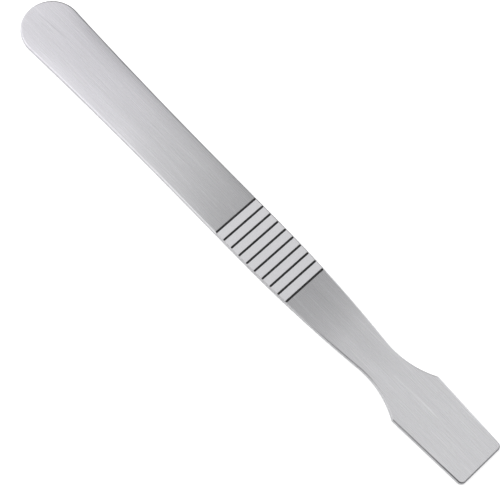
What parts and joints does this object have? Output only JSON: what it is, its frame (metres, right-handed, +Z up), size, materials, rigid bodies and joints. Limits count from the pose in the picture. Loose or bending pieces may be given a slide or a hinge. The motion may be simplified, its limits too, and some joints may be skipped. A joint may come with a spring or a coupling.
{
  "type": "double-ended metal spudger",
  "caption": "Flat steel pry tool with a round spatula end, enamel-filled grip grooves and a flared square blade.",
  "frame": {"origin": "under the middle of the strip's length and width, on the plane the underside rests on", "axes": "+X along the strip towards the square blade, +Y across its width, +Z up through its thickness"},
  "size_m": [0.14, 0.0138, 0.0014],
  "materials": {
    "brushed_steel": "brushed along the length, matte across the grip",
    "black_enamel": "semi-gloss black enamel"
  },
  "bodies": {
    "root": {"steel_body": "brushed_steel", "enamel_line_top_01": "black_enamel", "enamel_line_top_02": "black_enamel", "enamel_line_top_03": "black_enamel", "enamel_line_top_04": "black_enamel", "enamel_line_top_05": "black_enamel", "enamel_line_top_06": "black_enamel", "enamel_line_top_07": "black_enamel", "enamel_line_top_08": "black_enamel", "enamel_line_top_09": "black_enamel", "enamel_line_top_10": "black_enamel", "enamel_line_back_01": "black_enamel", "enamel_line_back_02": "black_enamel", "enamel_line_back_03": "black_enamel", "enamel_line_back_04": "black_enamel", "enamel_line_back_05": "black_enamel", "enamel_line_back_06": "black_enamel", "enamel_line_back_07": "black_enamel", "enamel_line_back_08": "black_enamel", "enamel_line_back_09": "black_enamel", "enamel_line_back_10": "black_enamel"}
  },
  "joints": []
}
